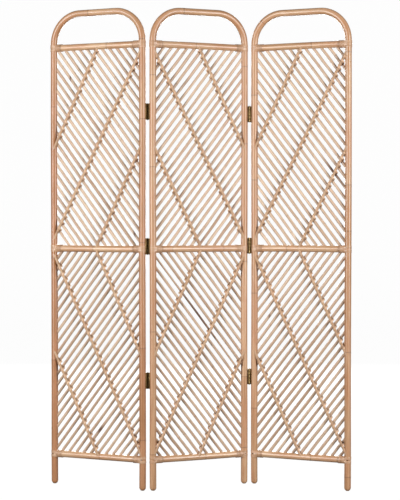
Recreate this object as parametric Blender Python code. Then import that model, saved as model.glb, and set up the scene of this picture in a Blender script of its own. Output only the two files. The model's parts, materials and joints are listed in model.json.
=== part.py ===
"""Folding room divider screen: three rattan panels that fold on two rows of brass butt hinges.

World frame: X runs along the screen from left to right as seen from the front, +Y points away from the front,
+Z is up, and the origin is on the floor under the centre of the middle panel.
Each panel is drawn flat in its own frame: u along the panel, v through it (+v to the back) and z up.
"""

import math

import bmesh
import bpy
from mathutils import Matrix, Vector

# Panel sizes, in metres. Heights are those of the centrelines.
HEIGHT = 1.800
LEG_SPACING = 0.375
POLE_RADIUS = 0.0125
BEND_RADIUS = 0.112
BEND_STEPS = 6
FOOT_RADIUS = 0.0060
FOOT_TAPER = 0.009
RAIL_RADIUS = 0.0126
RAIL_HEIGHTS = {"bottom": 0.115, "mid": 0.900, "top": 1.660}
BINDING_RADIUS = 0.0132
BINDING_LENGTH = 0.026

# Infill of one bay: slanting canes at the back, three braces at the front, lashing behind the canes.
# CANE_LEVEL is how far above the lower rail a cane crosses the middle of the panel.
CANE_RADIUS = 0.0055
CANE_DEPTH = 0.0034
CANE_ANGLE = math.radians(52.0)
CANE_PITCH = 0.040
CANE_LEVEL = 0.012
BRACE_RADIUS = 0.0050
BRACE_DEPTH = -0.0074
SHORT_BRACE_REACH = 0.475
LONG_BRACE_INSETS = {"upper": (0.030, 0.042), "lower": (0.030, 0.028)}
LASHING_WIDTH = 0.009
LASHING_BITE = 0.0010
LASHING_PROUD = 0.0012
LASHING_SHORTER = 0.002
CANE_PAST_BRACE = 0.002  # how far past a brace's end, in u, a cane may cross its line and still be lashed

# Butt hinges. The axis stands off the panel's edge and off its middle plane.
HINGE_HEIGHTS = {"low": 0.410, "mid": 0.910, "high": 1.410}
HINGE_LENGTH = 0.060
KNUCKLES = 5
KNUCKLE_RADIUS = 0.0030
PIN_RADIUS = 0.0015
PIN_HEAD_RADIUS = 0.0026
PIN_HEAD_LENGTH = 0.0012
LEAF_THICKNESS = 0.0015
LEAF_FRONT = -0.0010
AXIS_BEYOND_LEG = 0.0147
AXIS_OFF_PLANE = 0.0150
LEAF_TO_LEG = 0.0003
LEAF_INTO_KNUCKLE = 0.0020
FOLD_AT_REST = math.radians(24.0)

# Clearance of a rod's end from the round surface it is scribed to, and of parts that run on each other.
SCRIBE_GAP = 0.0006
RUNNING_GAP = 0.0003

# Facets round each section.
POLE_SIDES = 16
RAIL_SIDES = 16
BRACE_SIDES = 8
CANE_SIDES = 6
KNUCKLE_SIDES = 10
PIN_SIDES = 8

MATERIALS = {
    "pole_rattan": ((0.50, 0.29, 0.165, 1.0), 0.45, 0.0),
    "cane_rattan": ((0.60, 0.38, 0.22, 1.0), 0.50, 0.0),
    "brass": ((0.42, 0.29, 0.13, 1.0), 0.38, 1.0),
}

# Each panel's turn from the X axis, and the way its canes lean: +1 rises to the right in the upper bay.
PANELS = {
    "left": (-FOLD_AT_REST, -1),
    "middle": (FOLD_AT_REST, 1),
    "right": (-FOLD_AT_REST, -1),
}
BAYS = {"upper": ("mid", "top", 1), "lower": ("bottom", "mid", -1)}
# Each hinge row: the side of the middle panel it is on, and the side its knuckles are on (+1 is the back).
HINGE_ROWS = {"left": (-1, 1), "right": (1, -1)}


def clear_scene():
    for obj in list(bpy.data.objects):
        bpy.data.objects.remove(obj, do_unlink=True)


def make_materials():
    made = {}
    for name, (colour, roughness, metallic) in MATERIALS.items():
        material = bpy.data.materials.new(name)
        material.use_nodes = True
        shader = material.node_tree.nodes["Principled BSDF"]
        shader.inputs["Base Color"].default_value = colour
        shader.inputs["Roughness"].default_value = roughness
        shader.inputs["Metallic"].default_value = metallic
        material.diffuse_color = colour
        made[name] = material
    return made


def add_object(name, bm, parent, material):
    """A named object from bm, whose mesh is in the panel's frame, hung on the panel's empty."""
    bmesh.ops.recalc_face_normals(bm, faces=bm.faces)
    mesh = bpy.data.meshes.new(name)
    bm.to_mesh(mesh)
    bm.free()
    mesh.shade_smooth()
    mesh.set_sharp_from_angle(angle=math.radians(40))
    mesh.materials.append(material)
    obj = bpy.data.objects.new(name, mesh)
    bpy.context.scene.collection.objects.link(obj)
    obj.parent = parent
    obj.location = parent["panel_centre"]
    return obj


def hide_helper(obj):
    obj.hide_render = True
    obj.display_type = "WIRE"


def add_boolean(obj, operation, other):
    modifier = obj.modifiers.new(operation.lower(), "BOOLEAN")
    modifier.operation = operation
    modifier.object = other
    hide_helper(other)


def add_skin(bm, rings):
    """The faces between rings of equal point counts, first to last. Returns the rings' vertices."""
    loops = [[bm.verts.new(point) for point in ring] for ring in rings]
    count = len(rings[0])
    for near, far in zip(loops, loops[1:]):
        for i in range(count):
            j = (i + 1) % count
            bm.faces.new((near[i], near[j], far[j], far[i]))
    return loops


def add_ladder_cap(bm, loop):
    """Closes a loop whose points pair up across its middle: i with the one that is i from the end."""
    last = len(loop) - 1
    for i in range(len(loop) // 2 - 1):
        bm.faces.new((loop[i], loop[i + 1], loop[last - i - 1], loop[last - i]))


def round_section(radius, sides):
    """Offsets (across, v) round a section, in pairs of equal v, as a ladder cap needs."""
    angles = [(k + 0.5) * 2 * math.pi / sides for k in range(sides)]
    return [(radius * math.sin(a), radius * math.cos(a)) for a in angles]


# ---- The bent pole ----


def hoop_stations():
    """(u, z, tangent angle, radius) along the bent pole's centreline, from the left foot to the right foot."""
    side = LEG_SPACING / 2
    crown = HEIGHT - POLE_RADIUS
    shoulder = crown - BEND_RADIUS
    up = math.pi / 2
    stations = [(-side, 0.0, up, FOOT_RADIUS), (-side, FOOT_TAPER, up, POLE_RADIUS)]
    for turn, centre in ((up, -side + BEND_RADIUS), (0.0, side - BEND_RADIUS)):
        for step in range(BEND_STEPS + 1):
            angle = turn + up - step * up / BEND_STEPS
            u = centre + BEND_RADIUS * math.cos(angle)
            z = shoulder + BEND_RADIUS * math.sin(angle)
            stations.append((u, z, angle - up, POLE_RADIUS))
    stations += [(side, FOOT_TAPER, -up, POLE_RADIUS), (side, 0.0, -up, FOOT_RADIUS)]
    return stations


def add_hoop(name, parent, material):
    bm = bmesh.new()
    rings = []
    for u, z, angle, radius in hoop_stations():
        section = round_section(radius, POLE_SIDES)
        across = Vector((-math.sin(angle), 0, math.cos(angle)))
        rings.append([Vector((u, v, z)) + n * across for n, v in section])
    loops = add_skin(bm, rings)
    bm.faces.new(loops[0])
    bm.faces.new(loops[-1])
    return add_object(name, bm, parent, material)


# ---- Rails, braces and canes, scribed to the round surfaces that they meet ----


def wall_at(v):
    """How far from the panel's centre a rod at depth v meets a leg."""
    return LEG_SPACING / 2 - math.sqrt((POLE_RADIUS + SCRIBE_GAP) ** 2 - v**2)


def run_to_edge(u, z, v, direction, bay, reach):
    """How far a line in the bay runs from (u, z) before it meets a leg, a rail or a rail's binding."""
    low, high = (RAIL_HEIGHTS[rail] for rail in BAYS[bay][:2])
    du, dz = direction
    run = (math.copysign(wall_at(v), du) - u) / du
    rail, inwards = (high, -1) if dz > 0 else (low, 1)
    binding_start = LEG_SPACING / 2 - POLE_RADIUS - BINDING_LENGTH - reach
    for radius, start in ((RAIL_RADIUS, 0.0), (BINDING_RADIUS, binding_start)):
        half = math.sqrt((radius + SCRIBE_GAP) ** 2 - v**2)
        to_rail = (rail + inwards * half - z) / dz
        if abs(u + to_rail * du) >= start:
            run = min(run, to_rail)
    return run


def add_rod(bm, start, direction, section, depth, bay, shorter=0.0):
    """A straight rod through start, in the bay's plane, that ends on the legs and rails round it."""
    du, dz = direction
    reach = max(abs(across) for across, _ in section) * 2
    ends = ([], [])
    for across, out in section:
        u = start[0] - across * dz
        z = start[1] + across * du
        v = depth + out
        for ring, sign in zip(ends, (-1, 1)):
            run = run_to_edge(u, z, v, (sign * du, sign * dz), bay, reach) - shorter
            ring.append(Vector((u + sign * run * du, v, z + sign * run * dz)))
    loops = add_skin(bm, ends)
    add_ladder_cap(bm, loops[0])
    add_ladder_cap(bm, loops[1])


def add_rail(name, height, parent, material):
    """A rail with a wrapped binding at each end, hollowed to sit against the legs."""
    bm = bmesh.new()
    plain = round_section(RAIL_RADIUS, RAIL_SIDES)
    bound = round_section(BINDING_RADIUS, RAIL_SIDES)
    inner = LEG_SPACING / 2 - POLE_RADIUS - BINDING_LENGTH
    rings = [[Vector((-wall_at(v), v, height + n)) for n, v in bound]]
    for u, section in ((-inner, bound), (-inner, plain), (inner, plain), (inner, bound)):
        rings.append([Vector((u, v, height + n)) for n, v in section])
    rings.append([Vector((wall_at(v), v, height + n)) for n, v in bound])
    loops = add_skin(bm, rings)
    add_ladder_cap(bm, loops[0])
    add_ladder_cap(bm, loops[-1])
    return add_object(name, bm, parent, material)


def brace_lines(bay):
    """Name, start and end (u, z) of each brace, for canes that rise to +u. Ends lie on the edge of the bay."""
    low_rail, high_rail, _ = BAYS[bay]
    top = RAIL_HEIGHTS[high_rail] - RAIL_RADIUS
    base = RAIL_HEIGHTS[low_rail] + RAIL_RADIUS
    wall = LEG_SPACING / 2 - POLE_RADIUS
    reach = SHORT_BRACE_REACH * (top - base)
    below_top, above_base = LONG_BRACE_INSETS[bay]
    return {
        "high_brace": ((0.0, top), (wall, top - reach)),
        "long_brace": ((-wall, top - below_top), (wall, base + above_base)),
        "low_brace": ((-wall, base + reach), (0.0, base)),
    }


def middle_and_direction(line, lean):
    """The midpoint and unit direction of a brace's line, mirrored where the canes lean the other way."""
    (u0, z0), (u1, z1) = line
    direction = Vector((lean * (u1 - u0), z1 - z0)).normalized()
    return (lean * (u0 + u1) / 2, (z0 + z1) / 2), direction


def cane_middles(bay, lean):
    """A point on each cane of the bay, half way along the part that crosses the braces."""
    low_rail, high_rail, _ = BAYS[bay]
    low = RAIL_HEIGHTS[low_rail]
    high = RAIL_HEIGHTS[high_rail]
    slope = math.tan(CANE_ANGLE)
    below = math.ceil(slope * LEG_SPACING / 2 / CANE_PITCH)
    above = math.ceil((high - low) / CANE_PITCH) + below
    for k in range(-below, above):
        level = low + CANE_LEVEL + k * CANE_PITCH
        crossings = []
        for (u0, z0), (u1, z1) in brace_lines(bay).values():
            fall = (z1 - z0) / (u1 - u0)
            u = (z0 - fall * u0 - level) / (slope - fall)
            if u0 - CANE_PAST_BRACE < u < u1 + CANE_PAST_BRACE:
                crossings.append(u)
        if crossings:
            u = sum(crossings) / len(crossings)
            yield lean * u, level + slope * u


def add_infill(name, bay, lean, parent, material):
    """The bay's canes, held side by side by the lashing that runs behind them along each brace."""
    canes = bmesh.new()
    direction = (lean * math.cos(CANE_ANGLE), math.sin(CANE_ANGLE))
    section = round_section(CANE_RADIUS, CANE_SIDES)
    for middle in cane_middles(bay, lean):
        add_rod(canes, middle, direction, section, CANE_DEPTH, bay)
    lashing = bmesh.new()
    half = LASHING_WIDTH / 2
    back = CANE_RADIUS * math.cos(math.pi / CANE_SIDES)
    outer = back + LASHING_PROUD
    inner = back - LASHING_BITE
    strip = [(half, outer), (half, inner), (-half, inner), (-half, outer)]
    for line in brace_lines(bay).values():
        middle, along = middle_and_direction(line, lean)
        add_rod(lashing, middle, along, strip, CANE_DEPTH, bay, shorter=LASHING_SHORTER)
    infill = add_object(name, canes, parent, material)
    add_boolean(infill, "UNION", add_object(name + "_lashing", lashing, parent, material))
    return infill


def add_braces(prefix, bay, lean, parent, material):
    section = round_section(BRACE_RADIUS, BRACE_SIDES)
    for brace, line in brace_lines(bay).items():
        bm = bmesh.new()
        middle, along = middle_and_direction(line, lean)
        add_rod(bm, middle, along, section, BRACE_DEPTH, bay)
        add_object(prefix + brace, bm, parent, material)


# ---- Hinges ----


def add_cylinder(bm, radius, sides, low, high, u, v):
    rings = []
    for z in (low, high):
        section = round_section(radius, sides)
        rings.append([Vector((u + n, v + out, z)) for n, out in section])
    loops = add_skin(bm, rings)
    bm.faces.new(loops[0])
    bm.faces.new(loops[1])


def add_box(bm, lowest, highest):
    size = Vector(highest) - Vector(lowest)
    middle = (Vector(highest) + Vector(lowest)) / 2
    matrix = Matrix.Translation(middle) @ Matrix.Diagonal((*size, 1.0))
    bmesh.ops.create_cube(bm, size=1.0, matrix=matrix)


def add_leaf(name, centre, side, back, first_knuckle, parent, material):
    """One hinge leaf against the leg on this side (+1 right, -1 left), with every second knuckle.

    The plate covers the half of the leg nearest the axis, and steps back from the other leaf's knuckles.
    """
    axis_u = side * (LEG_SPACING / 2 + AXIS_BEYOND_LEG)
    axis_v = back * AXIS_OFF_PLANE
    bottom = centre - HINGE_LENGTH / 2
    pitch = HINGE_LENGTH / KNUCKLES
    near = side * (LEG_SPACING / 2 + POLE_RADIUS + LEAF_TO_LEG)
    far = near + side * LEAF_THICKNESS
    notched = AXIS_OFF_PLANE - KNUCKLE_RADIUS - 2 * RUNNING_GAP
    plate_u = sorted((near, far))
    plate = bmesh.new()
    knuckles = bmesh.new()
    full = AXIS_OFF_PLANE - LEAF_INTO_KNUCKLE
    edge = sorted((back * LEAF_FRONT, back * notched))
    add_box(plate, (plate_u[0], edge[0], bottom), (plate_u[1], edge[1], bottom + HINGE_LENGTH))
    for k in range(first_knuckle, KNUCKLES, 2):
        low = bottom + k * pitch + RUNNING_GAP / 2
        high = bottom + (k + 1) * pitch - RUNNING_GAP / 2
        add_cylinder(knuckles, KNUCKLE_RADIUS, KNUCKLE_SIDES, low, high, axis_u, axis_v)
    tongues = bmesh.new()
    tongue = sorted((back * (notched - LEAF_THICKNESS), back * full))
    for k in range(first_knuckle, KNUCKLES, 2):
        low = bottom + k * pitch + RUNNING_GAP
        high = bottom + (k + 1) * pitch - RUNNING_GAP
        add_box(tongues, (plate_u[0], tongue[0], low), (plate_u[1], tongue[1], high))
    bore = bmesh.new()
    add_cylinder(
        bore,
        PIN_RADIUS + RUNNING_GAP,
        PIN_SIDES,
        bottom - HINGE_LENGTH,
        bottom + 2 * HINGE_LENGTH,
        axis_u,
        axis_v,
    )
    leaf = add_object(name, plate, parent, material)
    add_boolean(leaf, "UNION", add_object(name + "_tongues", tongues, parent, material))
    add_boolean(leaf, "UNION", add_object(name + "_knuckles", knuckles, parent, material))
    add_boolean(leaf, "DIFFERENCE", add_object(name + "_bore", bore, parent, material))
    return leaf


def add_pin(name, centre, side, back, parent, material):
    """A straight pin through the knuckles, with a flat head at each end."""
    bm = bmesh.new()
    axis_u = side * (LEG_SPACING / 2 + AXIS_BEYOND_LEG)
    axis_v = back * AXIS_OFF_PLANE
    half = HINGE_LENGTH / 2 + RUNNING_GAP
    tip = half + PIN_HEAD_LENGTH
    stations = (
        (-tip, PIN_HEAD_RADIUS),
        (-half, PIN_HEAD_RADIUS),
        (-half, PIN_RADIUS),
        (half, PIN_RADIUS),
        (half, PIN_HEAD_RADIUS),
        (tip, PIN_HEAD_RADIUS),
    )
    rings = []
    for z, radius in stations:
        section = round_section(radius, PIN_SIDES)
        rings.append([Vector((axis_u + n, axis_v + v, centre + z)) for n, v in section])
    loops = add_skin(bm, rings)
    bm.faces.new(loops[0])
    bm.faces.new(loops[-1])
    return add_object(name, bm, parent, material)


def add_hinge_row(row, panels, material):
    """Three hinges between the middle panel and the panel on this side of it."""
    side, back = HINGE_ROWS[row]
    for level, centre in HINGE_HEIGHTS.items():
        prefix = f"{row}_{level}_hinge_"
        add_leaf(prefix + "outer_leaf", centre, -side, back, 1, panels[row], material)
        add_leaf(prefix + "middle_leaf", centre, side, back, 0, panels["middle"], material)
        add_pin(prefix + "pin", centre, side, back, panels["middle"], material)


# ---- Assembly ----


def fold_axis(row):
    """Where this row's hinge axis stands in the world."""
    side, back = HINGE_ROWS[row]
    local = Vector((side * (LEG_SPACING / 2 + AXIS_BEYOND_LEG), back * AXIS_OFF_PLANE, 0))
    return Matrix.Rotation(PANELS["middle"][0], 3, "Z") @ local


def add_panel_empty(panel):
    """The panel's empty: on its fold axis for a side panel, at the origin for the middle one."""
    empty = bpy.data.objects.new(f"{panel}_panel_axis", None)
    empty.rotation_euler.z = PANELS[panel][0]
    empty["panel_centre"] = (0.0, 0.0, 0.0)
    if panel in HINGE_ROWS:
        side, back = HINGE_ROWS[panel]
        empty.location = fold_axis(panel)
        offset = side * (LEG_SPACING / 2 + AXIS_BEYOND_LEG)
        empty["panel_centre"] = (offset, -back * AXIS_OFF_PLANE, 0.0)
    bpy.context.scene.collection.objects.link(empty)
    return empty


def add_panel(panel, empty, materials):
    add_hoop(f"{panel}_hoop", empty, materials["pole_rattan"])
    for rail, height in RAIL_HEIGHTS.items():
        add_rail(f"{panel}_{rail}_rail", height, empty, materials["pole_rattan"])
    for bay, (_, _, bay_lean) in BAYS.items():
        lean = bay_lean * PANELS[panel][1]
        add_infill(f"{panel}_{bay}_canes", bay, lean, empty, materials["cane_rattan"])
        add_braces(f"{panel}_{bay}_", bay, lean, empty, materials["cane_rattan"])


def main():
    clear_scene()
    materials = make_materials()
    empties = {panel: add_panel_empty(panel) for panel in PANELS}
    for panel, empty in empties.items():
        add_panel(panel, empty, materials)
    for row in HINGE_ROWS:
        add_hinge_row(row, empties, materials["brass"])


main()
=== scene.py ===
"""Looks of a folding rattan screen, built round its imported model.

Each panel has a flat frame of its own: u along the panel, v through it (+v to the back) and z up, in metres.
Every visible piece is rebuilt here with the growth rings, wound peel and worn brass of the real one.
"""

import json
import math

import bmesh
import bpy
import numpy as np
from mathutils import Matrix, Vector


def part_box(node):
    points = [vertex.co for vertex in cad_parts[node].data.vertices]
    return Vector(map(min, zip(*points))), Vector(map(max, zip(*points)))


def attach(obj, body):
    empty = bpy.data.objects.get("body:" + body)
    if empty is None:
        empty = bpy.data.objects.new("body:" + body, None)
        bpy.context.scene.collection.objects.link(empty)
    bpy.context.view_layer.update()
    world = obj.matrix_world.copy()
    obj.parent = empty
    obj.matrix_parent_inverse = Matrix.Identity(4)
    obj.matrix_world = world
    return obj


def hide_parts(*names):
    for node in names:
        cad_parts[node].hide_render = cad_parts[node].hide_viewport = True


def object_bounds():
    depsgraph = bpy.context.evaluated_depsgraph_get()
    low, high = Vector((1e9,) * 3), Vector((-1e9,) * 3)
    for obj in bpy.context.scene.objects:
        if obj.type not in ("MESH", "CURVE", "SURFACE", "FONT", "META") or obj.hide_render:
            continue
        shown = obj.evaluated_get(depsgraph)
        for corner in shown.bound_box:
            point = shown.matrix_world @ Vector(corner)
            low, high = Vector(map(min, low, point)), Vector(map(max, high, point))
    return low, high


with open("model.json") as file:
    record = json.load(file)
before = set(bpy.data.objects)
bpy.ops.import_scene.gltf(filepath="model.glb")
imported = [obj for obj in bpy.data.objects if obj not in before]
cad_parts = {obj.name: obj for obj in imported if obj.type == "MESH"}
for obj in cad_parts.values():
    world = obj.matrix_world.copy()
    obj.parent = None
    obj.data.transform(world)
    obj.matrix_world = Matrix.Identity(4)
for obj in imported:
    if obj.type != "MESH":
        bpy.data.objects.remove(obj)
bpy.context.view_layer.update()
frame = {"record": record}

# ---- Sizes that the frame doesn't give, in metres and radians ----

POLE_RADIUS = 0.0125
BEND_RADIUS = 0.112
FOOT_RADIUS = 0.0056
RAIL_RADIUS = 0.0126
BINDING_LENGTH = 0.026
CANE_RADIUS = 0.0055
CANE_DEPTH = 0.0034
CANE_ANGLE = math.radians(52.0)
CANE_PITCH = 0.040
CANE_LEVEL = 0.012  # how far above the lower rail a cane's line crosses the middle of the panel
BRACE_RADIUS = 0.0050
BRACE_DEPTH = -0.0074
SHORT_BRACE_REACH = 0.475  # the share of the bay's height that a short brace spans
# How far below the upper rail and above the lower one a long brace meets the legs.
LONG_BRACE_INSETS = {"upper": (0.030, 0.042), "lower": (0.030, 0.028)}
CANE_PAST_BRACE = 0.002  # how far past a brace's end, in u, a cane may cross its line and still be lashed
SINK = 0.0008  # how far a rod's end is let into the pole or rail that it meets

HINGE_LENGTH = 0.060
KNUCKLES = 5
KNUCKLE_RADIUS = 0.0030
PIN_RADIUS = 0.0015
LEAF_THICKNESS = 0.0015
LEAF_FRONT = -0.0010  # where a leaf starts, off the panel's middle plane and towards the knuckles
LEAF_TO_LEG = 0.0003
AXIS_BEYOND_LEG = 0.0147
AXIS_OFF_PLANE = 0.0150

PANELS = ("left", "middle", "right")
# Each hinge row's side of the middle panel, and the side its knuckles are on (+1 is the back).
HINGE_ROWS = {"left": (-1, 1), "right": (1, -1)}
OUTER_LEGS = (("left", -1), ("right", 1))  # the legs that carry no hinge
PANEL_LEAN = {"left": -1, "middle": 1, "right": -1}
BAYS = {"upper": ("mid", "top", 1), "lower": ("bottom", "mid", -1)}
MOUNTS = {mount["name"]: np.array(mount["pos_m"]) for mount in frame["record"]["mounts"]}
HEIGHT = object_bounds()[1].z
LEG_SPACING = float(np.linalg.norm(MOUNTS["left_panel_right_foot"] - MOUNTS["left_panel_left_foot"]))
HALF = LEG_SPACING / 2
TURN = 2 * np.pi  # once round, in radians


def middle_height(node):
    low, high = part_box(node)
    return (low.z + high.z) / 2


RAIL_HEIGHTS = {rail: middle_height(f"middle_{rail}_rail") for rail in ("bottom", "mid", "top")}

# ---- Meshes with the values that their materials read ----

SHARP_ANGLE = math.radians(50)
GRAIN_SPAN = 50.0  # each rod's grain starts somewhere along this length, so no two rods look alike
TONE_BLEND = 0.0015
# A growth ring's collar, the groove in it and the dark line on it, in ring widths.
RING_COLLAR, RING_GROOVE, RING_LINE = 2.4, 0.6, 0.9
GROOVE_DEPTH = 0.7  # as a share of the collar's height
# Where a rod's first ring is, and how far the next one is, as shares of the usual spacing.
FIRST_RING = (0.2, 0.9)
NEXT_RING = (0.75, 1.3)
RING_STATIONS = np.array([-3.0, -1.6, -0.7, 0.0, 0.7, 1.6, 3.0])  # in ring widths from the ring


def points_of(u, v, z):
    """Coordinates as one array of points. A value that is the same for all of them is given once."""
    return np.stack(np.broadcast_arrays(u, v, z), -1)


class Panel:
    """Turns points of a panel's flat frame into the row's frame."""

    def __init__(self, name):
        left, right = (MOUNTS[f"{name}_panel_{side}_foot"] for side in ("left", "right"))
        self.name = name
        self.body = f"{name}_panel"
        self.centre = (left + right) / 2
        self.along = (right - left) / np.linalg.norm(right - left)
        self.back = np.array([-self.along[1], self.along[0], 0.0])

    def place(self, points):
        u, v, z = (points[..., i, None] for i in range(3))
        return self.centre + u * self.along + v * self.back + z * np.array([0.0, 0.0, 1.0])


class Skin:
    """Gathers closed skins into one mesh.

    grain holds each point's place on its own rod (two across, one along), so fibres run lengthwise.
    marks holds tone, ring, and stain with painted shade, each from 0 to 1.
    """

    def __init__(self):
        self.points = []
        self.faces = []
        self.grain = []
        self.marks = []
        self.count = 0

    def add(self, rings, grain, tone=0.0, ring=0.0, stain=0.0, looped=False):
        """rings and grain are (stations, sides, 3); tone, ring and stain (with painted shade) have one
        value, or one per station.

        A looped skin joins its last ring to its first. Any other has a flat cap on each.
        """
        stations, sides, _ = rings.shape
        index = self.count + np.arange(stations * sides).reshape(stations, sides)
        near, far = index[:-1], index[1:]
        if looped:
            near, far = index, np.roll(index, -1, 0)
        else:
            self.faces += [index[0].tolist(), index[-1].tolist()]
        quads = np.stack([near, np.roll(near, -1, 1), np.roll(far, -1, 1), far], -1)
        self.faces += quads.reshape(-1, 4).tolist()
        marks = np.zeros((stations, sides, 4))
        for channel, value in enumerate((tone, ring, stain)):
            marks[..., channel] = np.broadcast_to(value, (stations,))[:, None]
        self.points.append(rings.reshape(-1, 3))
        self.grain.append(grain.reshape(-1, 3))
        self.marks.append(marks.reshape(-1, 4))
        self.count += stations * sides

    def finish(self, name, panel, material, slot, nodes):
        """Makes the gathered mesh a piece that rides on the panel's body, and hides these nodes of the
        imported model.
        """
        mesh = bpy.data.meshes.new(name)
        points = panel.place(np.concatenate(self.points))
        mesh.from_pydata(points.tolist(), [], self.faces)
        grain = mesh.attributes.new("grain", "FLOAT_VECTOR", "POINT")
        grain.data.foreach_set("vector", np.concatenate(self.grain).astype(np.float32).ravel())
        marks = mesh.attributes.new("marks", "FLOAT_COLOR", "POINT")
        marks.data.foreach_set("color", np.concatenate(self.marks).astype(np.float32).ravel())
        bm = bmesh.new()
        bm.from_mesh(mesh)
        bmesh.ops.recalc_face_normals(bm, faces=bm.faces)
        bm.to_mesh(mesh)
        bm.free()
        mesh.shade_smooth()
        mesh.set_sharp_from_angle(angle=SHARP_ANGLE)
        mesh.materials.append(material)
        piece = bpy.data.objects.new(name, mesh)
        bpy.context.scene.collection.objects.link(piece)
        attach(piece, panel.body)
        if nodes:
            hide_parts(*nodes)


def circle(sides):
    angles = np.arange(sides) * TURN / sides
    return np.cos(angles), np.sin(angles)


def bell(distance, width):
    return np.exp(-((distance / width) ** 2))


def wave(at, size, per_unit, rng):
    """A sine of this size that turns per_unit radians in each unit of at, from somewhere at random."""
    return size * np.sin(at * per_unit + rng.uniform(0, 6))


def ring_places(length, spacing, rng):
    """Where a rod's growth rings are, as lengths from its start."""
    places = []
    at = spacing * rng.uniform(*FIRST_RING)
    while at < length:
        places.append(at)
        at += spacing * rng.uniform(*NEXT_RING)
    return np.array(places)


def stations_along(length, step, rings, ring_width):
    """Lengths along a rod: evenly spaced, and closer together at its growth rings."""
    even = np.linspace(0, length, max(3, round(length / step) + 1))
    close = (rings[:, None] + RING_STATIONS * ring_width).ravel()
    return np.unique(np.concatenate([even, close[(close > 0) & (close < length)]]))


def ring_shape(at, rings, ring_width):
    """(swelling, scar) at each station: a low collar with a thin dark line on it."""
    if not len(rings):
        return np.zeros_like(at), np.zeros_like(at)
    distance = np.abs(at[:, None] - rings)
    collar = bell(distance, RING_COLLAR * ring_width).sum(1)
    groove = GROOVE_DEPTH * bell(distance, RING_GROOVE * ring_width).sum(1)
    return collar - groove, bell(distance, RING_LINE * ring_width).max(1)


def tones_along(at, rings, tone, spread, rng):
    """One tone for each length between growth rings, blended over a short way."""
    values = tone + rng.uniform(-spread, spread, len(rings) + 1)
    result = np.full(len(at), values[0])
    for place, before, after in zip(rings, values, values[1:]):
        # The limits keep exp within what a float holds.
        blend = 1 / (1 + np.exp(np.clip((place - at) / TONE_BLEND, -30, 30)))
        result += blend * (after - before)
    return np.clip(result, 0, 1)


# ---- Rods between the legs and rails ----

ROD_SIDES = 12
ROD_STEP = 0.015
ROD_RING = 0.0012
ROD_SWELLING = 0.07
ROD_UNEVENNESS = 0.03
ROD_BUMPS = 9  # how many radians its unevenness turns from end to end
ROD_WAVES = (0.6, 1.6)  # the fewest and the most bends along one rod
FLAW_STATIONS = np.linspace(-1.6, 1.6, 9)  # as shares of the flaw's reach


def half_chord(radius, v):
    """Half the width of a round rod at depth v, less the part that others are let into."""
    return np.sqrt(np.maximum((radius - SINK) ** 2 - v**2, 0))


def run_to_edge(u, z, v, direction, bay):
    """How far lines in the bay run from (u, z) before they meet a leg or a rail, for arrays of lines."""
    low, high = (RAIL_HEIGHTS[rail] for rail in BAYS[bay][:2])
    du, dz = direction
    to_leg = (np.copysign(HALF - half_chord(POLE_RADIUS, v), du) - u) / du
    half = half_chord(RAIL_RADIUS, v)
    to_rail = (high - half - z) / dz if dz > 0 else (low + half - z) / dz
    return np.minimum(to_leg, to_rail)


def add_rod(skin, middle, direction, depth, radius, bay, rng, look):
    """A slightly crooked rod across the bay, through middle, with growth rings and flaws."""
    du, dz = direction
    across, out = circle(ROD_SIDES)
    u = middle[0] - across * radius * dz
    z = middle[1] + across * radius * du
    v = depth + out * radius
    ahead = run_to_edge(u, z, v, (du, dz), bay)
    behind = run_to_edge(u, z, v, (-du, -dz), bay)
    length = float(np.mean(ahead + behind))
    rings = ring_places(length, look["ring_spacing"], rng)
    at = stations_along(length, ROD_STEP, rings, ROD_RING)
    for place, reach, _, _ in look["flaws"]:
        near = behind.mean() + place + reach * FLAW_STATIONS
        at = np.union1d(at, near[(near > 0) & (near < length)])
    swelling, scar = ring_shape(at, rings, ROD_RING)
    share = (at / length)[:, None]
    run = share * (ahead + behind) - behind
    phase = rng.uniform(0, TURN, 2)
    waves = rng.uniform(*ROD_WAVES)
    ends_held = np.sin(np.pi * share)
    sway = look["sway"] * np.sin(phase[0] + waves * TURN * share) * ends_held
    bow = 0.5 * look["sway"] * np.sin(phase[1] + waves * TURN * share) * ends_held
    size = 1 + ROD_SWELLING * swelling[:, None] + ROD_UNEVENNESS * np.sin(phase[1] + ROD_BUMPS * share)
    side = across * radius * size + sway
    points = points_of(
        middle[0] + run * du - side * dz,
        depth + out * radius * size + bow,
        middle[1] + run * dz + side * du,
    )
    grain = points_of(across * radius, out * radius, run + rng.uniform(0, GRAIN_SPAN))
    tone = tones_along(at, rings, look["tone"], look["tone_spread"], rng)
    stain = np.zeros_like(at)
    for place, reach, strength, _ in look["flaws"]:
        stain = np.maximum(stain, strength * bell(at - behind.mean() - place, reach))
    skin.add(points, grain, tone, scar, stain)


def brace_lines(bay):
    """Start and end (u, z) of each brace, for canes that rise to +u. Ends lie on the edge of the bay."""
    low_rail, high_rail, _ = BAYS[bay]
    top = RAIL_HEIGHTS[high_rail] - RAIL_RADIUS
    base = RAIL_HEIGHTS[low_rail] + RAIL_RADIUS
    wall = HALF - POLE_RADIUS
    reach = SHORT_BRACE_REACH * (top - base)
    below_top, above_base = LONG_BRACE_INSETS[bay]
    return {
        "high_brace": ((0.0, top), (wall, top - reach)),
        "long_brace": ((-wall, top - below_top), (wall, base + above_base)),
        "low_brace": ((-wall, base + reach), (0.0, base)),
    }


def cane_direction(lean):
    return lean * math.cos(CANE_ANGLE), math.sin(CANE_ANGLE)


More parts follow.
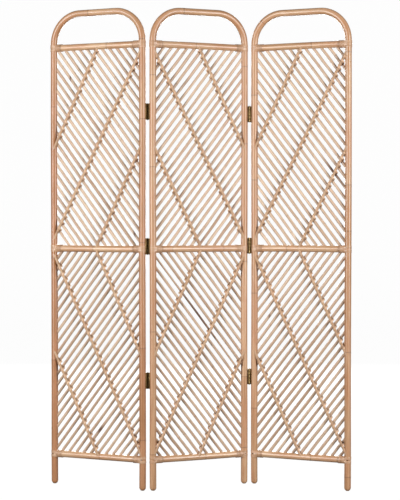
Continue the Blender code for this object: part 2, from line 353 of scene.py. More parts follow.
def cane_middles(bay, lean):
    """A point on each cane of the bay, half way along the part that crosses the braces."""
    low_rail, high_rail, _ = BAYS[bay]
    low = RAIL_HEIGHTS[low_rail]
    high = RAIL_HEIGHTS[high_rail]
    slope = math.tan(CANE_ANGLE)
    below = math.ceil(slope * HALF / CANE_PITCH)
    above = math.ceil((high - low) / CANE_PITCH) + below
    for k in range(-below, above):
        level = low + CANE_LEVEL + k * CANE_PITCH
        crossings = []
        for (u0, z0), (u1, z1) in brace_lines(bay).values():
            fall = (z1 - z0) / (u1 - u0)
            u = (z0 - fall * u0 - level) / (slope - fall)
            if u0 - CANE_PAST_BRACE < u < u1 + CANE_PAST_BRACE:
                crossings.append(u)
        if crossings:
            u = sum(crossings) / len(crossings)
            yield lean * u, level + slope * u


# ---- Strips of peel ----

# A strip's outline, as shares of half its width and half its thickness: flat below and rounded above.
STRIP_OUTLINE = np.array(
    [
        (-1.0, 0.0),
        (-0.82, -1.0),
        (0.82, -1.0),
        (1.0, 0.0),
        (0.82, 0.75),
        (0.35, 1.0),
        (-0.35, 1.0),
        (-0.82, 0.75),
    ]
)

# Lashing along a brace. Each turn stands out further on the side where its cane comes in.
LASHING_STRIP = (0.0068, 0.0015)
LASHING_WIDE = 0.0094
LASHING_NARROW = 0.0071
LASHING_GAP = 0.0003
LASHING_STEPS = 30  # stations in each turn
LASHING_TONE = 0.4
LASHING_TONE_WAVE = (0.35, 0.31)
FIRST_CROSSING = 0.006  # the nearest to a brace's end that a cane is lashed
FIRST_TURN = 0.003  # the nearest to a brace's end that the lashing comes
# How dark the painted shade is, at least and at most, where the lashing dives between the canes.
CREASE_SHADE = (0.05, 0.65)

# The tight coil at each end of a lashing.
COIL_STRIP = (0.0042, 0.0012)
COIL_TURNS = 2
COIL_STEPS = 24
COIL_PITCH = 0.0042
COIL_GAP = 0.0006
COIL_TONE = 0.35
COIL_STAIN = 0.5

# Bindings: turns round the rail, over strips that hug the leg and run back along the rail's two faces.
BINDING_TURNS = 6
BINDING_STEPS = 28
BINDING_COVER = 0.93  # the share of the binding's length that the turns fill
BINDING_GAP = 0.0011
BINDING_TONES = (0.5, 1.0)
BINDING_STAIN = 0.25
BINDING_WIDTH = 0.9  # as a share of the turns' pitch
BINDING_THICKNESS = 0.0014
HUG_STRIP = (0.0050, 0.0010)
HUG_STEPS = 24
HUG_BACK_STEPS = 6
HUG_TONES = (0.6, 1.0)
HUG_STAIN = 0.08
HUG_LEVELS = (-0.0102, -0.0051, 0.0, 0.0051, 0.0102)
SPLIT_HUG_LEVELS = (-0.0098, -0.0049, 0.0049, 0.0098)
HUG_PROUD = 0.0007
HUG_PROUD_RANGE = (0.6, 1.2)  # as shares of HUG_PROUD
HUG_SLACK = 0.0004  # how far a strip may wander from its level
HUG_OFF_RAIL = 0.0004
HUG_RUN_BACK = 0.009  # how far past the leg the strips run back along the rail
# A dark strip of painted shade in the gap between split strips round a leg.
CREVICE_STRIP = (0.0052, 0.0006)
CREVICE_ANGLE = 0.56 * np.pi
CREVICE_STEPS = 28
CREVICE_SINK = 0.0002
CREVICE_SHADE_DARKNESS = 0.9  # how dark its tone and its painted shade are


def add_strip(skin, path, outward, strip, tone, rng, stain):
    """A strip, given as (width, thickness), along path. Its face looks outward, in the panel's frame."""
    tangent = np.gradient(path, axis=0)
    tangent /= np.linalg.norm(tangent, axis=1, keepdims=True)
    across = np.cross(tangent, outward)
    across /= np.linalg.norm(across, axis=1, keepdims=True)
    out = np.cross(across, tangent)
    section = STRIP_OUTLINE * (strip[0] / 2, strip[1] / 2)
    rings = path[:, None] + section[:, :1] * across[:, None] + section[:, 1:] * out[:, None]
    steps = np.linalg.norm(np.diff(path, axis=0), axis=1)
    along = np.concatenate([[0.0], np.cumsum(steps)]) + rng.uniform(0, GRAIN_SPAN)
    grain = points_of(section[:, 0], section[:, 1], along[:, None])
    skin.add(rings, grain, tone, stain=stain)


def lashed_crossings(start, along, length, lean, bay):
    """How far along a brace, from start, it crosses each cane that is lashed to it."""
    du, dz = along
    cane = cane_direction(lean)
    found = []
    for middle in cane_middles(bay, lean):
        gap = np.array(middle) - start
        at = (gap[0] * cane[1] - gap[1] * cane[0]) / (du * cane[1] - dz * cane[0])
        if FIRST_CROSSING < at < length - FIRST_CROSSING:
            found.append(at)
    return np.array(sorted(found))


def add_lashing(skin, line, lean, bay, rng):
    """Peel wound along a brace, one turn round the brace and each cane that it crosses."""
    (u0, z0), (u1, z1) = line
    start = np.array([lean * u1, z1])
    end = np.array([lean * u0, z0])
    length = np.linalg.norm(end - start)
    du, dz = (end - start) / length

    def wind(at, sine, cosine, reach, v, strip, tone, stain):
        across = reach * sine
        path = points_of(start[0] + at * du - across * dz, v, start[1] + at * dz + across * du)
        outward = points_of(-sine * dz, -cosine, sine * du)
        add_strip(skin, path, outward, strip, tone, rng, stain)

    cane = cane_direction(lean)
    drift = (du * cane[0] + dz * cane[1]) / (-dz * cane[0] + du * cane[1])
    hand = 1.0 if drift > 0 else -1.0
    wide_side = (-1.0 if bay == "upper" else 1.0) * (1.0 if du > 0 else -1.0)
    crossings = lashed_crossings(start, (du, dz), length, lean, bay)
    half_pitch = float(np.mean(np.diff(crossings))) / 2
    first = max(FIRST_TURN, crossings[0] - half_pitch)
    last = min(length - FIRST_TURN, crossings[-1] + half_pitch)
    turns = np.arange(len(crossings)) * TURN + np.pi
    final = turns[-1] + np.pi
    turn = np.arange(0, final + 0.01, TURN / LASHING_STEPS)
    at = np.interp(turn, [0.0, *turns, final], [first, *crossings, last])
    sine, cosine = hand * np.sin(turn), np.cos(turn)
    reach = np.where(sine * wide_side > 0, LASHING_WIDE, LASHING_NARROW)
    front = BRACE_DEPTH - BRACE_RADIUS - LASHING_GAP
    back = CANE_DEPTH + CANE_RADIUS + LASHING_GAP
    v = (front + back) / 2 + (back - front) / 2 * -cosine
    tones = LASHING_TONE + wave(turn, *LASHING_TONE_WAVE, rng) * rng.uniform(0.5, 1)
    # Painted shade: the peel is darkened where it dives between the canes, by a different amount at each
    # turn.
    crease_shade = np.interp(turn, turns, rng.uniform(*CREASE_SHADE, len(turns)))
    stain = np.clip(np.abs(sine) * 2.0 - 1.1, 0, 1) * crease_shade
    wind(at, sine, cosine, reach, v, LASHING_STRIP, tones, stain)
    turn = np.linspace(0, COIL_TURNS * TURN, COIL_TURNS * COIL_STEPS + 1)
    sine, cosine = np.sin(turn), np.cos(turn)
    reach = BRACE_RADIUS + COIL_GAP
    for at_end, way in ((first, 1), (last, -1)):
        at = at_end + way * COIL_PITCH * turn / TURN
        v = BRACE_DEPTH - reach * cosine
        wind(at, sine, cosine, reach, v, COIL_STRIP, COIL_TONE, COIL_STAIN)


def add_rail_turns(skin, side, height, rng):
    """The turns of peel that hold the ends of the hugging strips down on the rail."""
    angle = np.linspace(0, BINDING_TURNS * TURN, BINDING_TURNS * BINDING_STEPS + 1)
    pitch = BINDING_LENGTH / BINDING_TURNS
    start = HALF - POLE_RADIUS - BINDING_LENGTH + pitch / 2
    radius = RAIL_RADIUS + BINDING_GAP
    u = side * (start + pitch * BINDING_COVER * angle / TURN)
    sine, cosine = np.sin(angle), np.cos(angle)
    path = points_of(u, radius * sine, height + radius * cosine)
    outward = points_of(0.0, sine, cosine)
    middles = (np.arange(BINDING_TURNS) + 0.5) * TURN
    tones = np.interp(angle, middles, rng.uniform(*BINDING_TONES, BINDING_TURNS))
    stains = rng.uniform(0.0, BINDING_STAIN, BINDING_TURNS)
    stains[0] += BINDING_STAIN
    stain = np.interp(angle, middles, stains)
    add_strip(skin, path, outward, (pitch * BINDING_WIDTH, BINDING_THICKNESS), tones, rng, stain)


def add_hugging_strip(skin, side, height, level, proud, rng):
    """A strip round the leg's far side, whose ends run back along the rail's two faces."""
    on_rail = math.sqrt(RAIL_RADIUS**2 - level**2) + HUG_OFF_RAIL
    hug = POLE_RADIUS + proud * rng.uniform(*HUG_PROUD_RANGE)
    bend = np.linspace(-np.pi / 2, np.pi / 2, HUG_STEPS + 1)
    back = np.linspace(0, 1, HUG_BACK_STEPS + 1)[1:]
    ease = back * back * (3 - 2 * back)
    back_u = HALF - back * (POLE_RADIUS + HUG_RUN_BACK)
    back_v = hug + (on_rail - hug) * ease
    u = np.concatenate([back_u[::-1], HALF + hug * np.cos(bend), back_u])
    v = np.concatenate([-back_v[::-1], hug * np.sin(bend), back_v])
    slack = rng.uniform(-HUG_SLACK, HUG_SLACK)
    path = points_of(side * u, v, height + level + slack)
    outward = points_of(side * np.gradient(v), -np.gradient(u), 0.0)
    outward /= np.linalg.norm(outward, axis=1, keepdims=True)
    add_strip(skin, path, outward, HUG_STRIP, rng.uniform(*HUG_TONES), rng, HUG_STAIN)


def add_crevice_shade(skin, side, height, rng):
    """A dark strip of painted shade in the gap where the strips round a leg stand apart."""
    bend = np.linspace(-CREVICE_ANGLE, CREVICE_ANGLE, CREVICE_STEPS + 1)
    hug = POLE_RADIUS - CREVICE_SINK
    path = points_of(side * (HALF + hug * np.cos(bend)), hug * np.sin(bend), height)
    outward = points_of(side * np.cos(bend), np.sin(bend), 0.0)
    add_strip(skin, path, outward, CREVICE_STRIP, CREVICE_SHADE_DARKNESS, rng, CREVICE_SHADE_DARKNESS)


def add_binding(skin, side, height, split, beside_hinge, rng):
    """The peel round one end of a rail and the leg beside it. It lies flatter beside a hinge."""
    add_rail_turns(skin, side, height, rng)
    proud = 0.0 if beside_hinge else HUG_PROUD
    for level in SPLIT_HUG_LEVELS if split else HUG_LEVELS:
        add_hugging_strip(skin, side, height, level, proud, rng)
    # Split strips get a dark strip of painted shade in the gap between them.
    if split:
        add_crevice_shade(skin, side, height, rng)


# ---- Materials ----

# Noise in the rattan: cycles per metre (across, across, along), detail and roughness.
FIBRES = ((900.0, 900.0, 22.0), 4.0, 0.6)
STREAKS = ((190.0, 190.0, 4.0), 3.0, 0.55)
PATCHES = ((30.0, 30.0, 9.0), 3.0, 0.55)
SPECKLE = ((500.0, 500.0, 260.0), 2.0, 0.55)

# Each rattan's pale, deep and flushed colours, its roughness, the weight of its gloss and its fibres' depth.
RATTANS = {
    "pole": ((0.68, 0.455, 0.275), (0.36, 0.15, 0.055), (0.51, 0.24, 0.125), 0.36, 0.45, 0.0002),
    "cane": ((0.70, 0.525, 0.38), (0.42, 0.27, 0.17), (0.55, 0.355, 0.25), 0.44, 0.2, 0.00015),
    "brace": ((0.63, 0.43, 0.27), (0.38, 0.22, 0.12), (0.52, 0.31, 0.185), 0.46, 0.2, 0.00015),
    "peel": ((0.81, 0.57, 0.375), (0.48, 0.27, 0.145), (0.68, 0.40, 0.26), 0.34, 0.4, 0.0001),
}
# The dark colour of ring scars, speckles and stains, and of painted shade.
SCAR_AND_SHADE = (0.11, 0.045, 0.022)

BRASS_CLOUDS = (260.0, 4.0, 0.65)  # cycles per metre, detail and roughness
BRASS_PITS = (1400.0, 2.0, 0.55)
DULL_BRASS = (0.10, 0.065, 0.03, 1.0)
BRIGHT_BRASS = (0.55, 0.38, 0.15, 1.0)
DIRTY_BRASS = (0.05, 0.035, 0.02, 1.0)


class Nodes:
    """Short ways to add and join the nodes of one material."""

    def __init__(self, name):
        self.material = bpy.data.materials.new(name)
        self.material.use_nodes = True
        self.tree = self.material.node_tree
        self.shader = self.tree.nodes["Principled BSDF"]

    def add(self, kind, inputs=(), **settings):
        node = self.tree.nodes.new(kind)
        for key, value in settings.items():
            setattr(node, key, value)
        for key, value in dict(inputs).items():
            if isinstance(value, bpy.types.NodeSocket):
                self.tree.links.new(value, node.inputs[key])
            else:
                node.inputs[key].default_value = value
        return node

    def noise(self, vector, scale, stretch, detail, roughness):
        """Noise of about 0.5, finer along the axes with the larger stretch."""
        placed = self.add("ShaderNodeMapping", {"Vector": vector, "Scale": stretch})
        made = self.add(
            "ShaderNodeTexNoise",
            {"Vector": placed.outputs[0], "Scale": scale, "Detail": detail, "Roughness": roughness},
        )
        return made.outputs["Fac"]

    def spread(self, value, low, high, to_low=0.0, to_high=1.0):
        """The value, clamped between low and high and spread from to_low to to_high."""
        made = self.add(
            "ShaderNodeMapRange",
            {"Value": value, "From Min": low, "From Max": high, "To Min": to_low, "To Max": to_high},
        )
        return made.outputs["Result"]

    def mix(self, factor, first, second, blend="MIX"):
        made = self.add(
            "ShaderNodeMix", {0: factor, 6: first, 7: second}, data_type="RGBA", blend_type=blend
        )
        return made.outputs[2]

    def join(self, output, name):
        self.tree.links.new(output, self.shader.inputs[name])

    def set_inputs(self, **values):
        """Sets the shader's own sockets, named with _ for each space."""
        for name, value in values.items():
            self.shader.inputs[name.replace("_", " ")].default_value = value


def rattan(name, pale, deep, flush, roughness, coat, fibre_depth):
    """Rattan, with fibres along the rod, cloudy patches, growth rings, dark stains and painted shade.

    pale and deep are the ends of its range of tones, and flush is the pinker colour of its patches.
    """
    made = Nodes(name)
    pale, deep, flush, scar = ((*colour, 1.0) for colour in (pale, deep, flush, SCAR_AND_SHADE))
    grain = made.add("ShaderNodeAttribute", attribute_name="grain").outputs["Vector"]
    marks = made.add("ShaderNodeAttribute", attribute_name="marks").outputs["Color"]
    tone, ring, stain = made.add("ShaderNodeSeparateColor", {"Color": marks}).outputs[:3]
    fibres, streaks, patches, speckle = (
        made.noise(grain, 1.0, *noise) for noise in (FIBRES, STREAKS, PATCHES, SPECKLE)
    )
    colour = made.mix(tone, pale, deep)
    colour = made.mix(made.spread(patches, 0.42, 0.68, 0.0, 0.65), colour, flush)
    colour = made.mix(made.spread(streaks, 0.47, 0.68, 0.0, 0.7), colour, deep)
    fine = made.spread(fibres, 0.3, 0.72, 0.78, 1.12)
    tint = made.add("ShaderNodeCombineColor", {"Red": fine, "Green": fine, "Blue": fine})
    colour = made.mix(1.0, colour, tint.outputs[0], "MULTIPLY")
    colour = made.mix(made.spread(speckle, 0.66, 0.78, 0.0, 0.35), colour, scar)
    colour = made.mix(made.spread(ring, 0.25, 1.0, 0.0, 0.6), colour, scar)
    # Stains, and the painted shade in the lashing's creases and the crevice strips, darken towards the scar
    # colour.
    colour = made.mix(stain, colour, scar)
    made.join(colour, "Base Color")
    made.join(made.spread(fibres, 0.3, 0.7, roughness - 0.06, roughness + 0.12), "Roughness")
    made.set_inputs(Coat_Weight=coat, Coat_Roughness=0.28, Specular_IOR_Level=0.4)
    height = made.add("ShaderNodeMath", {0: fibres, 1: streaks}, operation="ADD")
    bump = made.add(
        "ShaderNodeBump",
        {"Strength": 0.35, "Distance": fibre_depth, "Height": height.outputs[0]},
    )
    made.join(bump.outputs[0], "Normal")
    return made.material


def old_brass(name):
    """Brass gone brown in its hollows, rubbed bright in places."""
    made = Nodes(name)
    where = made.add("ShaderNodeTexCoord").outputs["Object"]
    clouds, pits = (
        made.noise(where, scale, (1.0, 1.0, 1.0), detail, roughness)
        for scale, detail, roughness in (BRASS_CLOUDS, BRASS_PITS)
    )
    colour = made.mix(made.spread(clouds, 0.38, 0.66), DULL_BRASS, BRIGHT_BRASS)
    colour = made.mix(made.spread(pits, 0.58, 0.72, 0.0, 0.8), colour, DIRTY_BRASS)
    made.join(colour, "Base Color")
    made.join(made.spread(clouds, 0.35, 0.7, 0.62, 0.34), "Roughness")
    made.set_inputs(Metallic=0.85)
    bump = made.add("ShaderNodeBump", {"Strength": 0.25, "Distance": 0.0002, "Height": pits})
    made.join(bump.outputs[0], "Normal")
    return made.material


MATERIALS = {name: rattan(name, *look) for name, look in RATTANS.items()}
MATERIALS["brass"] = old_brass("old_brass")

# ---- The bent poles and the rails ----

HOOP_SIDES = 24
HOOP_STEP = 0.010
HOOP_RING = 0.0022
HOOP_RING_SPACING = 0.36
HOOP_SWELLING = 0.022
# Waves along a pole or a rail: their size, and their radians per metre.
HOOP_UNEVENNESS = (0.008, 7.0)
HOOP_SWAY = (0.0006, 5.1)
RAIL_UNEVENNESS = (0.006, 11.0)
HOOP_TONE_SPREAD = 0.14
SWAY_FROM_FOOT = 0.1  # the sway grows to its full size over this length
# A foot's radius at lengths from its end.
FOOT_PROFILE = (
    (0.0, FOOT_RADIUS),
    (0.0006, 0.0066),
    (0.0025, 0.0085),
    (0.0050, 0.0104),
    (0.0075, 0.0118),
    (0.0095, 0.0123),
    (0.012, POLE_RADIUS),
)
FOOT_LENGTH = 0.013
FOOT_STAIN = 0.45
FOOT_STAIN_REACH = 0.002

RAIL_SIDES = 24
RAIL_STEP = 0.012
RAIL_RING = 0.0020
RAIL_RING_SPACING = 0.26
RAIL_SWELLING = 0.02
RAIL_SWAY = 0.0007
RAIL_TONE = 0.2
RAIL_TONE_SPREAD = 0.18

# Heights of the growth rings that stand out on the legs. The others are drawn at random, and not near these.
LEG_RINGS = {("left", -1): 1.278, ("right", 1): 1.138}
RINGS_APART = 0.15

TONE_HEIGHT = 1.2
# How dark each panel's pole is at its left foot, at TONE_HEIGHT, at its crown, at TONE_HEIGHT and at its
# right foot.
POLE_TONES = {
    "left": (0.84, 0.99, 0.35, 0.80, 0.90),
    "middle": (0.52, 0.50, 0.35, 0.55, 0.28),
    "right": (0.38, 0.62, 0.30, 0.58, 0.48),
}

CROWN = HEIGHT - POLE_RADIUS
SHOULDER = CROWN - BEND_RADIUS
BEND_LENGTH = BEND_RADIUS * math.pi / 2
# Where a hoop's leg, bend, flat, bend and leg end, as lengths along its centreline.
HOOP_ENDS = np.cumsum([SHOULDER, BEND_LENGTH, 2 * (HALF - BEND_RADIUS), BEND_LENGTH, SHOULDER])
HOOP_LENGTH = HOOP_ENDS[-1]


def hoop_point(at):
    """(u, z, tangent angle) at lengths along the hoop's centreline from its left foot."""
    part = np.searchsorted(HOOP_ENDS[:-1], at, side="right")
    since = at - np.concatenate([[0.0], HOOP_ENDS])[part]
    turn = since / BEND_RADIUS
    rise, fall = BEND_RADIUS * np.sin(turn), BEND_RADIUS * np.cos(turn)
    first_u = -HALF + BEND_RADIUS * (1 - np.cos(turn))
    second_u = HALF - BEND_RADIUS * (1 - np.sin(turn))
    u = np.choose(part, [-HALF, first_u, -HALF + BEND_RADIUS + since, second_u, HALF])
    z = np.choose(part, [since, SHOULDER + rise, CROWN, SHOULDER + fall, SHOULDER - since])
    angle = np.choose(part, [np.pi / 2, np.pi / 2 - turn, 0.0, -turn, -np.pi / 2])
    return u, z, angle


def add_hoop(skin, panel, rng):
    """A panel's bent pole, with rounded feet and growth rings."""
    rings = ring_places(HOOP_LENGTH, HOOP_RING_SPACING, rng)
    for (name, side), height in LEG_RINGS.items():
        if name == panel.name:
            place = height if side < 0 else HOOP_LENGTH - height
            rings = np.append(rings[np.abs(rings - place) > RINGS_APART], place)
    rings = np.sort(rings)
    foot, foot_radii = np.array(FOOT_PROFILE).T
    at = stations_along(HOOP_LENGTH, HOOP_STEP, rings, HOOP_RING)
    between_feet = at[(at > FOOT_LENGTH) & (at < HOOP_LENGTH - FOOT_LENGTH)]
    at = np.unique(np.concatenate([foot, HOOP_LENGTH - foot, between_feet]))
    u, z, angle = (values[:, None] for values in hoop_point(at))
    from_end = np.minimum(at, HOOP_LENGTH - at)
    swelling, scar = ring_shape(at, rings, HOOP_RING)
    size = 1 + HOOP_SWELLING * swelling + wave(at, *HOOP_UNEVENNESS, rng)
    radius = np.interp(from_end, foot, foot_radii) * size
    sway = wave(at, *HOOP_SWAY, rng) * np.clip(from_end / SWAY_FROM_FOOT, 0, 1)
    across, out = circle(HOOP_SIDES)
    side = across * radius[:, None] + sway[:, None]
    points = points_of(u - side * np.sin(angle), out * radius[:, None], z + side * np.cos(angle))
    grain = points_of(across * POLE_RADIUS, out * POLE_RADIUS, at[:, None] + rng.uniform(0, GRAIN_SPAN))
    places = [0.0, TONE_HEIGHT, HOOP_LENGTH / 2, HOOP_LENGTH - TONE_HEIGHT, HOOP_LENGTH]
    general = np.interp(at, places, POLE_TONES[panel.name])
    tone = np.clip(general + tones_along(at, rings, 0.5, HOOP_TONE_SPREAD, rng) - 0.5, 0, 1)
    skin.add(points, grain, tone, scar, FOOT_STAIN * bell(from_end, FOOT_STAIN_REACH))


def add_rail(skin, height, rng):
    """A rail between the legs, with growth rings."""
    across, out = circle(RAIL_SIDES)
    wall = HALF - half_chord(POLE_RADIUS, out * RAIL_RADIUS)
    rings = ring_places(LEG_SPACING, RAIL_RING_SPACING, rng)
    at = stations_along(LEG_SPACING, RAIL_STEP, rings, RAIL_RING)
    swelling, scar = ring_shape(at, rings, RAIL_RING)
    size = 1 + RAIL_SWELLING * swelling + wave(at, *RAIL_UNEVENNESS, rng)
    radius = RAIL_RADIUS * size[:, None]
    share = (at / LEG_SPACING)[:, None]
    u = wall * (2 * share - 1)
    sway = RAIL_SWAY * np.sin(np.pi * share) * math.sin(rng.uniform(0, 6))
    points = points_of(u, out * radius, height + across * radius + sway)
    grain = points_of(across * RAIL_RADIUS, out * RAIL_RADIUS, u + rng.uniform(0, GRAIN_SPAN))
    tone = tones_along(at, rings, RAIL_TONE, RAIL_TONE_SPREAD, rng)
    skin.add(points, grain, tone, scar)


# ---- Making the panels ----

FIRST_SEED = 11
CANE_LOOK = {"tone_spread": 0.15, "ring_spacing": 0.24, "sway": 0.0008}
BRACE_LOOK = {"tone": 0.45, "tone_spread": 0.2, "ring_spacing": 0.2, "sway": 0.0003, "flaws": []}
CANE_TONES = {"upper": 0.3, "lower": 0.5}
CANE_TONE_SPREAD = 0.22
CANE_SIZES = (0.93, 1.05)  # the thinnest and the thickest cane, as shares of the usual radius

# Dark marks on the canes: where each is (u, z), its reach along the cane, its strength and the cane's size.
FLAWS = {
    ("left", "upper"): [(-0.114, 1.545, 0.005, 1.0, 1.0), (0.157, 0.952, 0.007, 0.9, 1.0)],
    ("left", "lower"): [(0.001, 0.224, 0.020, 0.9, 1.0)],
    ("middle", "upper"): [(-0.050, 1.510, 0.030, 0.5, 1.0)],
    ("middle", "lower"): [(0.000, 0.655, 0.100, 0.95, 0.7)],
    ("right", "upper"): [(0.125, 1.182, 0.055, 0.95, 0.9)],
    ("right", "lower"): [(-0.120, 0.640, 0.006, 0.8, 1.0)],
}


def flaws_on(cane, direction, flaws):
    """The flaws on this cane, each as (place along it from its middle, reach, strength, size)."""
    found = []
    for u, z, reach, strength, size in flaws:
        du, dz = u - cane[0], z - cane[1]
        off = du * direction[1] - dz * direction[0]
        if abs(off) < CANE_PITCH * math.cos(CANE_ANGLE) / 2:
            found.append((du * direction[0] + dz * direction[1], reach, strength, size))
    return found


def make_panel(panel, rng):
    """The pole, rails, bindings and two bays of one panel."""
    name = panel.name
    skin = Skin()
    add_hoop(skin, panel, rng)
    skin.finish(f"{name}_bent_pole", panel, MATERIALS["pole"], "pole_rattan", [f"{name}_hoop"])
    for rail, height in RAIL_HEIGHTS.items():
        node = f"{name}_{rail}_rail"
        skin = Skin()
        add_rail(skin, height, rng)
        skin.finish(f"{node}_pole", panel, MATERIALS["pole"], "pole_rattan", [node])
        skin = Skin()
        for side in (-1, 1):
            beside_hinge = rail == "mid" and (name, side) not in OUTER_LEGS
            add_binding(skin, side, height, rail == "bottom", beside_hinge, rng)
        skin.finish(f"{node}_bindings", panel, MATERIALS["peel"], "brace_rattan", [])
    for bay, (_, _, bay_lean) in BAYS.items():
        make_bay(panel, bay, bay_lean * PANEL_LEAN[name], rng)


def make_bay(panel, bay, lean, rng):
    """The canes, braces and lashing of one bay, whose canes rise to the right (lean 1) or the left (-1)."""
    prefix = f"{panel.name}_{bay}_"
    direction = cane_direction(lean)
    skin = Skin()
    for middle in cane_middles(bay, lean):
        flaws = flaws_on(middle, direction, FLAWS[panel.name, bay])
        tone = float(np.clip(rng.normal(CANE_TONES[bay], CANE_TONE_SPREAD), 0, 1))
        radius = CANE_RADIUS * rng.uniform(*CANE_SIZES) * min([1.0] + [flaw[3] for flaw in flaws])
        look = {**CANE_LOOK, "tone": tone, "flaws": flaws}
        add_rod(skin, middle, direction, CANE_DEPTH, radius, bay, rng, look)
    skin.finish(f"{prefix}slanting_canes", panel, MATERIALS["cane"], "cane_rattan", [f"{prefix}canes"])
    for brace, line in brace_lines(bay).items():
        (u0, z0), (u1, z1) = line
        along = Vector((lean * (u0 - u1), z0 - z1)).normalized()
        middle = (lean * (u0 + u1) / 2, (z0 + z1) / 2)
        node = prefix + brace
        skin = Skin()
        add_rod(skin, middle, tuple(along), BRACE_DEPTH, BRACE_RADIUS, bay, rng, BRACE_LOOK)
        skin.finish(f"{node}_stick", panel, MATERIALS["brace"], "brace_rattan", [node])
        skin = Skin()
        add_lashing(skin, line, lean, bay, rng)
        skin.finish(f"{node}_lashing", panel, MATERIALS["peel"], "brace_rattan", [])


# ---- Hinges ----

TURNED_SIDES = 24
EDGE = 0.0003
TONGUE_EDGE = 0.0002
KNUCKLE_GAP = 0.00015  # a knuckle stops this far short of its share of the hinge
BORE_GAP = 0.0003
PLATE_TO_KNUCKLE = 0.0006
TONGUE_OVER_PLATE = 0.0030  # how far from the knuckle's face the tongue starts, on the plate
TONGUE_TO_AXIS = 0.0019
# Screws: how many steps up from the hinge's middle each is, and how far it is off the panel's middle plane.
SCREWS = ((-1, 0.0062), (0, 0.0036), (1, 0.0062))
SCREW_STEP = 0.019
CROSS = 0.7 + 0.3 * np.cos(4 * np.arange(TURNED_SIDES) * TURN / TURNED_SIDES)
# A screw's countersunk head and the cross-shaped recess in it, as (height above the leaf, radius).
SCREW_HEAD = (
    (-0.0004, 0.0024),
    (0.00005, 0.0024),
    (0.0002, 0.0021),
    (0.0002, 0.0014 * CROSS),
    (-0.0002, 0.0012 * CROSS),
)
# The pin's domed end, as (height above the hinge's end, radius).
PIN_END = ((0.0003, PIN_RADIUS), (0.0003, 0.0026), (0.0009, 0.0026), (0.0014, 0.0019), (0.0015, 0.0006))
UPRIGHT = ((1, 0, 0), (0, 1, 0), (0, 0, 1))


def add_box(skin, low, high, edge):
    """A box from low to high (u, v, z), with its edges cut back."""
    (u0, v0, z0), (u1, v1, z1) = low, high
    rings = []
    for z, inset in ((z0, edge), (z0 + edge, 0.0), (z1 - edge, 0.0), (z1, edge)):
        outline = []
        for u, v, turn in ((u0, v0, 1), (u1, v0, -1), (u1, v1, 1), (u0, v1, -1)):
            inwards_u = inset if u == u0 else -inset
            inwards_v = inset if v == v0 else -inset
            cuts = ((edge if u == u0 else -edge, 0.0), (0.0, edge if v == v0 else -edge))
            for cut_u, cut_v in cuts[::-turn]:
                outline.append((u + inwards_u + cut_u, v + inwards_v + cut_v, z))
        rings.append(outline)
    rings = np.array(rings)
    skin.add(rings, rings)


def add_turned(skin, centre, axes, profile, looped=False):
    """A turned shape. axes are two vectors across and one along, and profile is (along, radius).

    A radius is one number, or one for each side.
    """
    first, second, along = (np.array(vector, float) for vector in axes)
    cosine, sine = circle(TURNED_SIDES)
    rings = []
    for place, radius in profile:
        spokes = (radius * cosine)[:, None] * first + (radius * sine)[:, None] * second
        rings.append(np.array(centre) + place * along + spokes)
    rings = np.array(rings)
    skin.add(rings, rings, looped=looped)


def add_knuckle(skin, axis, low, high):
    bore = PIN_RADIUS + BORE_GAP
    profile = [
        (low, bore),
        (low, KNUCKLE_RADIUS - EDGE),
        (low + EDGE, KNUCKLE_RADIUS),
        (high - EDGE, KNUCKLE_RADIUS),
        (high, KNUCKLE_RADIUS - EDGE),
        (high, bore),
    ]
    add_turned(skin, (*axis, 0.0), UPRIGHT, profile, looped=True)


def add_leaf(skin, centre, side, back, first_knuckle):
    """A leaf against the leg on this side, with every second knuckle and three countersunk screws."""
    near = side * (HALF + POLE_RADIUS + LEAF_TO_LEG)
    far = near + side * LEAF_THICKNESS
    axis = (side * (HALF + AXIS_BEYOND_LEG), back * AXIS_OFF_PLANE)
    bottom = centre - HINGE_LENGTH / 2
    pitch = HINGE_LENGTH / KNUCKLES
    plate_end = AXIS_OFF_PLANE - KNUCKLE_RADIUS - PLATE_TO_KNUCKLE
    tongue_start = AXIS_OFF_PLANE - KNUCKLE_RADIUS - TONGUE_OVER_PLATE
    u0, u1 = sorted((near, far))
    v0, v1 = sorted((back * LEAF_FRONT, back * plate_end))
    add_box(skin, (u0, v0, bottom), (u1, v1, bottom + HINGE_LENGTH), EDGE)
    v0, v1 = sorted((back * tongue_start, back * (AXIS_OFF_PLANE - TONGUE_TO_AXIS)))
    for k in range(first_knuckle, KNUCKLES, 2):
        low, high = bottom + k * pitch + KNUCKLE_GAP, bottom + (k + 1) * pitch - KNUCKLE_GAP
        add_box(skin, (u0, v0, low), (u1, v1, high), TONGUE_EDGE)
        add_knuckle(skin, axis, low, high)
    head = ((0, 1, 0), (0, 0, 1), (side, 0, 0))
    for step, v in SCREWS:
        add_turned(skin, (far, back * v, centre + step * SCREW_STEP), head, SCREW_HEAD)


def add_pin(skin, centre, side, back):
    """The pin through the knuckles, with a low domed head at each end."""
    top = [(HINGE_LENGTH / 2 + place, radius) for place, radius in PIN_END]
    bottom = [(-place, radius) for place, radius in top[::-1]]
    axis = (side * (HALF + AXIS_BEYOND_LEG), back * AXIS_OFF_PLANE, centre)
    add_turned(skin, axis, UPRIGHT, bottom + top)


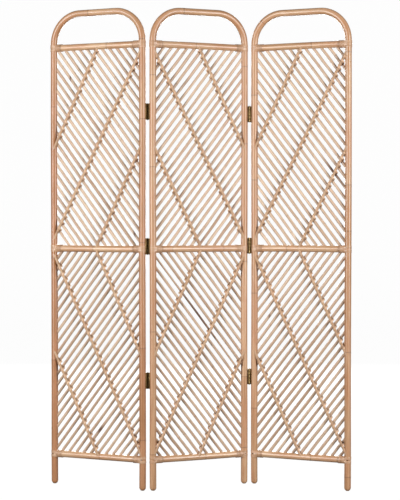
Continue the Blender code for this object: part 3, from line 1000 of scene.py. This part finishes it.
def make_hinge_row(row, side, back):
    """The three hinges between the middle panel and the panel on this side of it."""
    outer, inner = Skin(), Skin()
    outer_nodes, inner_nodes = [], []
    for level in ("low", "mid", "high"):
        prefix = f"{row}_{level}_hinge_"
        centre = middle_height(prefix + "middle_leaf")
        add_leaf(outer, centre, -side, back, 1)
        add_leaf(inner, centre, side, back, 0)
        add_pin(inner, centre, side, back)
        outer_nodes.append(prefix + "outer_leaf")
        inner_nodes += [prefix + "middle_leaf", prefix + "pin"]
    outer.finish(f"{row}_fold_outer_leaves", panels[row], MATERIALS["brass"], "brass", outer_nodes)
    inner.finish(f"{row}_fold_middle_leaves", panels["middle"], MATERIALS["brass"], "brass", inner_nodes)


panels = {name: Panel(name) for name in PANELS}
for number, panel in enumerate(panels.values()):
    make_panel(panel, np.random.default_rng(FIRST_SEED + number))

for row, (side, back) in HINGE_ROWS.items():
    make_hinge_row(row, side, back)

# ---- Floor, light and camera ----

BACKDROP_GLOW = 0.97
BACKDROP_GREY = 0.06
FLOOR_RINGS = (0.4, 2.5)
ROOM_RADIUS = 11.0
ROOM_CURVE = 2.5
ROOM_CURVE_STEPS = 12
ROOM_HEIGHT = 12.0
ROOM_SIDES = 64
SURROUND = 0.12
# Each soft box: where it stands, what it faces, its width and height, and its power.
SOFT_BOXES = {
    "left_box": ((-3.2, -2.9, 1.55), (0.0, 0.0, 1.05), 0.9, 2.2, 182.0),
    "right_box": ((3.2, -2.9, 1.55), (0.0, 0.0, 1.05), 0.9, 2.2, 167.0),
    "back_box": ((0.0, 4.4, 1.7), (0.0, 0.0, 0.9), 2.4, 2.2, 240.0),
}
CAMERA_PLACE = (0.042, -5.644, 1.026)
CAMERA_DOWN = 0.0232
CAMERA_ASIDE = 0.0069
CAMERA_LENS = 108.0
CAMERA_SENSOR = 36.0


def make_backdrop():
    """A round pale floor that curves up into a wall on every side, softly lit from within."""
    bend = ROOM_RADIUS - ROOM_CURVE
    profile = [(radius, 0.0) for radius in (*FLOOR_RINGS, bend)]
    for step in range(1, ROOM_CURVE_STEPS + 1):
        turn = step / ROOM_CURVE_STEPS * math.pi / 2
        profile.append((bend + ROOM_CURVE * math.sin(turn), ROOM_CURVE * (1 - math.cos(turn))))
    profile.append((ROOM_RADIUS, ROOM_HEIGHT))
    cosine, sine = circle(ROOM_SIDES)
    points = [(0.0, 0.0, 0.0)]
    for radius, z in profile:
        points += [(radius * c, radius * s, z) for c, s in zip(cosine, sine)]
    faces = []
    for i in range(ROOM_SIDES):
        j = (i + 1) % ROOM_SIDES
        faces.append((0, 1 + i, 1 + j))
        for ring in range(len(profile) - 1):
            near, far = 1 + ring * ROOM_SIDES, 1 + (ring + 1) * ROOM_SIDES
            faces.append((near + i, far + i, far + j, near + j))
    mesh = bpy.data.meshes.new("backdrop")
    mesh.from_pydata(points, [], faces)
    mesh.shade_smooth()
    made = Nodes("backdrop")
    made.set_inputs(Base_Color=(BACKDROP_GREY, BACKDROP_GREY, BACKDROP_GREY, 1.0))
    made.set_inputs(Roughness=0.9, Specular_IOR_Level=0.0)
    made.set_inputs(Emission_Color=(1.0, 1.0, 1.0, 1.0), Emission_Strength=BACKDROP_GLOW)
    mesh.materials.append(made.material)
    backdrop = bpy.data.objects.new("backdrop", mesh)
    bpy.context.scene.collection.objects.link(backdrop)
    backdrop.visible_diffuse = False
    backdrop.visible_glossy = False


def add_light(name, place, aim, width, height, power):
    light = bpy.data.lights.new(name, "AREA")
    light.shape = "RECTANGLE"
    light.size = width
    light.size_y = height
    light.energy = power
    lamp = bpy.data.objects.new(name, light)
    lamp.location = place
    lamp.rotation_euler = (Vector(aim) - Vector(place)).to_track_quat("-Z", "Y").to_euler()
    lamp.visible_camera = False
    bpy.context.scene.collection.objects.link(lamp)


def make_light():
    """Tall soft boxes to the front left and right, one behind, and a dim surround."""
    world = bpy.data.worlds.new("studio")
    world.use_nodes = True
    background = world.node_tree.nodes["Background"]
    background.inputs["Color"].default_value = (1.0, 1.0, 1.0, 1.0)
    background.inputs["Strength"].default_value = SURROUND
    bpy.context.scene.world = world
    for name, (place, aim, width, height, power) in SOFT_BOXES.items():
        add_light(name, place, aim, width, height, power)


def make_camera():
    camera = bpy.data.cameras.new("camera")
    camera.sensor_width = CAMERA_SENSOR
    camera.lens = CAMERA_LENS
    seat = bpy.data.objects.new("camera", camera)
    seat.location = CAMERA_PLACE
    seat.rotation_euler = (math.pi / 2 - CAMERA_DOWN, 0.0, CAMERA_ASIDE)
    bpy.context.scene.collection.objects.link(seat)
    bpy.context.scene.camera = seat


make_backdrop()
make_light()
make_camera()
bpy.context.scene.view_settings.view_transform = "Standard"
